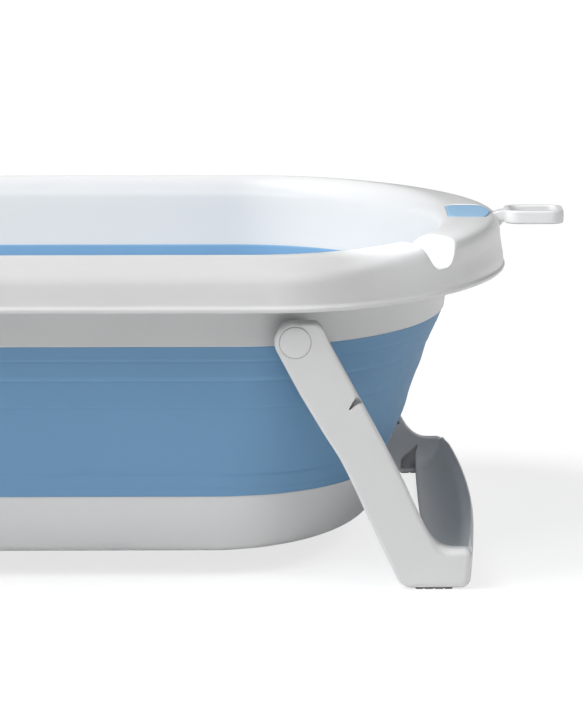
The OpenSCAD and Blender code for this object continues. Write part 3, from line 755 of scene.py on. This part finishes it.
def feet(sx, name):
    V, F = [], []
    for sy in (-1, 1):
        y0, y1 = sorted((sy * (arm_y - 12), sy * (arm_y - 2)))
        P = arc(366 - 2, y1 - 2, 2, 0, 90, 5) + arc(342 + 2, y1 - 2, 2, 90, 180, 5) + arc(342 + 2, y0 + 2, 2, 180, 270, 5) + arc(366 - 2, y0 + 2, 2, 270, 360, 5)
        P = np.array(P)
        v, f = slab_round(P, 0.0, 2.2, 0.45, "z", 3)
        # tread grooves: three shallow channels across the sole
        v[:, 0] *= sx
        b = len(V)
        V += [list(p) for p in v]
        F += [[i + b for i in q] for q in f]
    ob = make(name, np.array(V), F)
    cuts = []
    for sy in (-1, 1):
        y0, y1 = sorted((sy * (arm_y - 13), sy * (arm_y - 1)))
        for x in (347.5, 354, 360.5):
            v, f = slab_round([[x - 0.8, -1], [x + 0.8, -1], [x + 0.45, 0.55], [x - 0.45, 0.55]], y0, y1, 0.0001, "y", 1)
            v[:, 0] *= sx
            cuts.append(make("cut", v, f))
    boolean(ob, cuts)
    return smooth(ob, 40)


capR, capL = caps(1, "pivot_cap_discs_right"), caps(-1, "pivot_cap_discs_left")
footR, footL = feet(1, "rubber_feet_right"), feet(-1, "rubber_feet_left")


# ------------------------------------------------------------------ grip pads
def pads():
    V, F = [], []
    for sx in (1, -1):
        P = pad_outline(0.0, 10)
        cen = np.array([385.5, 0.0])
        lv = [(P, he - 1.35), (P, he - 0.7), (cen + (P - cen) * 0.985, he - 0.35), (cen + (P - cen) * 0.96, he - 0.15),
              (cen + (P - cen) * 0.92, he - 0.05), (cen + (P - cen) * 0.7, he + 0.05), (cen + (P - cen) * 0.4, he + 0.08)]
        v, f = stack(lv)
        v[:, 0] *= sx
        b = len(V)
        V += [list(p) for p in v]
        F += [[i + b for i in q] for q in f]
    return smooth(make("grip_pad_inserts", np.array(V), F), 50)


pad = pads()

# ------------------------------------------------------------------ hanging ring
ring_px, ring_pz, ring_z, ring_t, ring_tip, ring_w = 400.5, 199.2, 209.3, 9.0, 449.2, 17.0


def rr_path(n=12):
    """Centre line of the ring band and its outward normals."""
    x0, x1, y, r = 411.7, 446.95, 17.25, 7.4
    P, Nn = [], []
    for cx, cy, a0 in ((x1 - r, y - r, 0), (x0 + r, y - r, 90), (x0 + r, -y + r, 180), (x1 - r, -y + r, 270)):
        for k in range(n + 1):
            a = math.radians(a0 + 90 * k / n)
            P.append([cx + r * math.cos(a), cy + r * math.sin(a)]); Nn.append([math.cos(a), math.sin(a)])
    return np.array(P), np.array(Nn)


P, Nn = rr_path()
hw, r = 2.25, 1.3
sec = arc(hw - r, ring_t / 2 - r, r, 0, 90, 5) + arc(-hw + r, ring_t / 2 - r, r, 90, 180, 5) + arc(-hw + r, -ring_t / 2 + r, r, 180, 270, 5) + arc(hw - r, -ring_t / 2 + r, r, 270, 360, 5)
# each pair of corner points is joined by a straight run, so add none there
V = []
for o, z in sec:
    V.append(np.column_stack([P + Nn * o, np.full(len(P), ring_z + ring_t / 2 + z)]))
ringo = make("hanging_ring_loop", np.vstack(V), grid_faces(len(sec), len(P), True))
neck = [[ring_px - 3.4, ring_pz + 2.2], [ring_px + 4, ring_pz - 0.4], [405.2, 204.0], [406.9, 207.2], [408.9, ring_z + 0.1], [411.4, ring_z + 0.35],
        [411.8, ring_z + ring_t - 1.0], [409.2, ring_z + ring_t - 0.95], [405.6, ring_z + ring_t - 1.5], [403.0, ring_z + ring_t - 2.4],
        [401.6, ring_z + ring_t - 4.2], [400.0, ring_z + ring_t - 9.0]]
neck = np.array(neck)
V, F = slab_round(neck, -6.0, 6.0, 0.9, "y", 4)
kn = lathe([(0, -6), (3.7, -6), (4.2, -5.5), (4.2, 5.5), (3.7, 6), (0, 6)], (ring_px, 0, ring_pz), (0, 1, 0), 48)
nk = make("cut", V, F)
boolean(nk, [make("cut", *kn)], "UNION")
boolean(ringo, [nk], "UNION")
V, F = cyl(1.55, (ring_px, -9, ring_pz), (ring_px, 9, ring_pz), 40)
boolean(ringo, [make("cut", V, F)])
smooth(ringo, 36)

# ------------------------------------------------------------------ materials
def nodes_of(name):
    m = bpy.data.materials.new(name)
    m.use_nodes = True
    nt = m.node_tree
    b = nt.nodes["Principled BSDF"]
    tc = nt.nodes.new("ShaderNodeTexCoord")
    return m, nt, b, tc


def noise(nt, tc, scale, detail=2.0, rough=0.5, mapping=None):
    n = nt.nodes.new("ShaderNodeTexNoise")
    n.inputs["Scale"].default_value = scale
    n.inputs["Detail"].default_value = detail
    n.inputs["Roughness"].default_value = rough
    if mapping:
        mp = nt.nodes.new("ShaderNodeMapping")
        mp.inputs["Scale"].default_value = mapping
        nt.links.new(tc.outputs["Object"], mp.inputs["Vector"])
        nt.links.new(mp.outputs["Vector"], n.inputs["Vector"])
    else:
        nt.links.new(tc.outputs["Object"], n.inputs["Vector"])
    return n


def ramp(nt, src, lo, hi, p0=0.3, p1=0.7):
    r = nt.nodes.new("ShaderNodeMapRange")
    r.inputs["From Min"].default_value = p0
    r.inputs["From Max"].default_value = p1
    r.inputs["To Min"].default_value = lo
    r.inputs["To Max"].default_value = hi
    nt.links.new(src, r.inputs["Value"])
    return r.outputs["Result"]


def mix_col(nt, fac, a, b):
    m = nt.nodes.new("ShaderNodeMix")
    m.data_type = "RGBA"
    m.inputs["A"].default_value = (*a, 1)
    m.inputs["B"].default_value = (*b, 1)
    nt.links.new(fac, m.inputs["Factor"])
    return m.outputs["Result"]


def bump(nt, b, src, strength, dist, chain=None):
    n = nt.nodes.new("ShaderNodeBump")
    n.inputs["Strength"].default_value = strength
    n.inputs["Distance"].default_value = dist
    nt.links.new(src, n.inputs["Height"])
    if chain is not None:
        nt.links.new(chain, n.inputs["Normal"])
    nt.links.new(n.outputs["Normal"], b.inputs["Normal"])
    return n.outputs["Normal"]


def plastic(name, ca, cb, rough=(0.30, 0.40), grain=0.10, spec=0.45, coat=0.0):
    m, nt, b, tc = nodes_of(name)
    big = noise(nt, tc, 9.0, 3.0, 0.55)
    nt.links.new(mix_col(nt, ramp(nt, big.outputs["Fac"], 0, 1), ca, cb), b.inputs["Base Color"])
    mid = noise(nt, tc, 160.0, 3.0, 0.6)
    nt.links.new(ramp(nt, mid.outputs["Fac"], *rough), b.inputs["Roughness"])
    fine = noise(nt, tc, 2600.0, 2.0, 0.6)
    n1 = bump(nt, b, fine.outputs["Fac"], grain, 0.0002)
    wave = noise(nt, tc, 38.0, 1.0, 0.4)
    bump(nt, b, wave.outputs["Fac"], 0.06, 0.0008, n1)
    b.inputs["Specular IOR Level"].default_value = spec
    b.inputs["Coat Weight"].default_value = coat
    b.inputs["Coat Roughness"].default_value = 0.2
    return m


white = plastic("white_pp", (0.695, 0.695, 0.693), (0.680, 0.681, 0.681), (0.30, 0.38), 0.07, 0.45)
white_leg = plastic("white_pp_leg", (0.695, 0.696, 0.695), (0.679, 0.681, 0.683), (0.32, 0.40), 0.08, 0.45)
# painted shade: the soft wall is the same blue TPE as the pads, but gets a darker copy of that blue to stand in for the
# shade under the rim
blue_wall_painted_shade = plastic("blue_tpe_soft_painted_shade", (0.172, 0.338, 0.535), (0.165, 0.328, 0.520), (0.50, 0.60), 0.16, 0.22)
blue_pad = plastic("blue_tpe_pad", (0.285, 0.470, 0.655), (0.275, 0.456, 0.640), (0.46, 0.56), 0.30, 0.30)
grey_pl = plastic("grey_pom", (0.46, 0.475, 0.50), (0.42, 0.435, 0.46), (0.36, 0.46), 0.10, 0.4)
rubber = plastic("grey_rubber_sole", (0.17, 0.175, 0.185), (0.13, 0.135, 0.145), (0.70, 0.85), 0.45, 0.25)

steel, nt, b, tc = nodes_of("brushed_steel")
b.inputs["Metallic"].default_value = 1.0
st = noise(nt, tc, 600.0, 3.0, 0.6, mapping=(1, 9, 1))
nt.links.new(mix_col(nt, ramp(nt, st.outputs["Fac"], 0, 1), (0.62, 0.63, 0.65), (0.50, 0.51, 0.53)), b.inputs["Base Color"])
nt.links.new(ramp(nt, st.outputs["Fac"], 0.24, 0.42), b.inputs["Roughness"])
bump(nt, b, st.outputs["Fac"], 0.12, 0.0001)


def put(ob, mat, body=None, rep=None):
    ob.data.materials.clear()
    ob.data.materials.append(mat)
    if body:
        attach(ob, body)
    if rep:
        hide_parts(*rep)


put(rim, white, "rim", ["rim_frame"])
# the soft wall wears the darker painted-shade copy of the pad's blue
put(wall, blue_wall_painted_shade, None, ["soft_wall"])
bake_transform(wall)
put(base, white, "basin", ["base_pan"])
put(plug, blue_pad, "plug", ["drain_plug"])
put(leg, white_leg, "right_leg", ["leg_right"])
put(legL, white_leg, "left_leg", ["leg_left"])
put(capR, white_leg, "right_leg", ["pivot_caps_right"])
put(capL, white_leg, "left_leg", ["pivot_caps_left"])
put(footR, rubber, "right_leg", ["foot_pads_right"])
put(footL, rubber, "left_leg", ["foot_pads_left"])
put(pad, blue_pad, "rim", ["grip_pads"])
put(ringo, white, "ring", ["hanging_ring"])


def repaint(node, mat, angle=30):
    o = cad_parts[node]
    if not o.material_slots:
        o.data.materials.append(mat)
    for s in o.material_slots:
        s.material = mat


repaint("pivot_bushes", grey_pl)
repaint("pivot_washers", steel)
repaint("pivot_screws", steel)
repaint("ring_pin", steel)
repaint("bracket_screws", steel)
repaint("ring_bracket", white)

# ------------------------------------------------------------------ stage
bpy.ops.mesh.primitive_plane_add(size=80, location=(0, 0, -0.0002))
floor = bpy.context.object
floor.name = "studio_floor"
m, nt, b, tc = nodes_of("pale_floor")
fl = noise(nt, tc, 1.3, 2.0, 0.5)
nt.links.new(mix_col(nt, ramp(nt, fl.outputs["Fac"], 0, 1), (0.93, 0.93, 0.93), (0.945, 0.945, 0.945)), b.inputs["Base Color"])
b.inputs["Roughness"].default_value = 0.9
b.inputs["Specular IOR Level"].default_value = 0.05
# seen directly, the floor is lifted towards white so that its soft shadows stay pale
em = nt.nodes.new("ShaderNodeEmission")
em.inputs["Color"].default_value = (1, 1, 1, 1)
em.inputs["Strength"].default_value = 1.04
lp = nt.nodes.new("ShaderNodeLightPath")
mul = nt.nodes.new("ShaderNodeMath")
mul.operation = "MULTIPLY"
mul.inputs[1].default_value = 0.72
nt.links.new(lp.outputs["Is Camera Ray"], mul.inputs[0])
mx = nt.nodes.new("ShaderNodeMixShader")
nt.links.new(mul.outputs[0], mx.inputs[0])
nt.links.new(b.outputs["BSDF"], mx.inputs[1])
nt.links.new(em.outputs["Emission"], mx.inputs[2])
nt.links.new(mx.outputs["Shader"], nt.nodes["Material Output"].inputs["Surface"])
floor.data.materials.append(m)

world = bpy.data.worlds.new("studio")
bpy.context.scene.world = world
world.use_nodes = True
bg = world.node_tree.nodes["Background"]
bg.inputs["Color"].default_value = (1.0, 1.0, 1.0, 1)
bg.inputs["Strength"].default_value = 0.06


def soft(name, az, el, strength, angle=24, color=(1, 1, 1)):
    """A large soft light far away: azimuth from +X towards +Y and elevation in degrees."""
    d = bpy.data.lights.new(name, "SUN")
    d.angle = math.radians(angle)
    d.energy = math.pi * strength
    d.color = color
    o = bpy.data.objects.new(name, d)
    bpy.context.scene.collection.objects.link(o)
    a, e = math.radians(az), math.radians(el)
    v = Vector((math.cos(e) * math.cos(a), math.cos(e) * math.sin(a), math.sin(e)))
    o.rotation_euler = v.to_track_quat("Z", "Y").to_euler()
    return o


def area(name, loc, target, sx, sy, power, color=(1, 1, 1)):
    d = bpy.data.lights.new(name, "AREA")
    d.shape = "RECTANGLE"
    d.size, d.size_y = sx, sy
    d.energy = power
    d.color = color
    o = bpy.data.objects.new(name, d)
    bpy.context.scene.collection.objects.link(o)
    o.location = loc
    o.rotation_euler = (Vector(target) - Vector(loc)).to_track_quat("-Z", "Y").to_euler()
    o.visible_camera = False
    return o


soft("key_left", -165, 48, 0.74)
soft("key_front", -125, 48, 0.27)
soft("side_right", 0, 48, 0.17)
soft("front_right", -58, 56, 0.13)
soft("back", 90, 48, 0.05)
area("bowl_fill", (0.03, -0.16, 0.285), (0.10, 0.25, 0.19), 0.62, 0.05, 0.86, (0.93, 0.97, 1.0))

cam = bpy.data.cameras.new("cam")
cam.lens = 296.83
cam.sensor_width = 36
cam.clip_start, cam.clip_end = 0.1, 200
co = bpy.data.objects.new("cam", cam)
bpy.context.scene.collection.objects.link(co)
co.location = (0.1874, -3.9783, 0.6954)
co.rotation_euler = (math.radians(90 - 8.3041), 0, math.radians(-0.85))
bpy.context.scene.camera = co
vs = bpy.context.scene.view_settings
vs.view_transform = "Standard"
vs.look = "None"
vs.exposure = 0.0
vs.gamma = 1.0
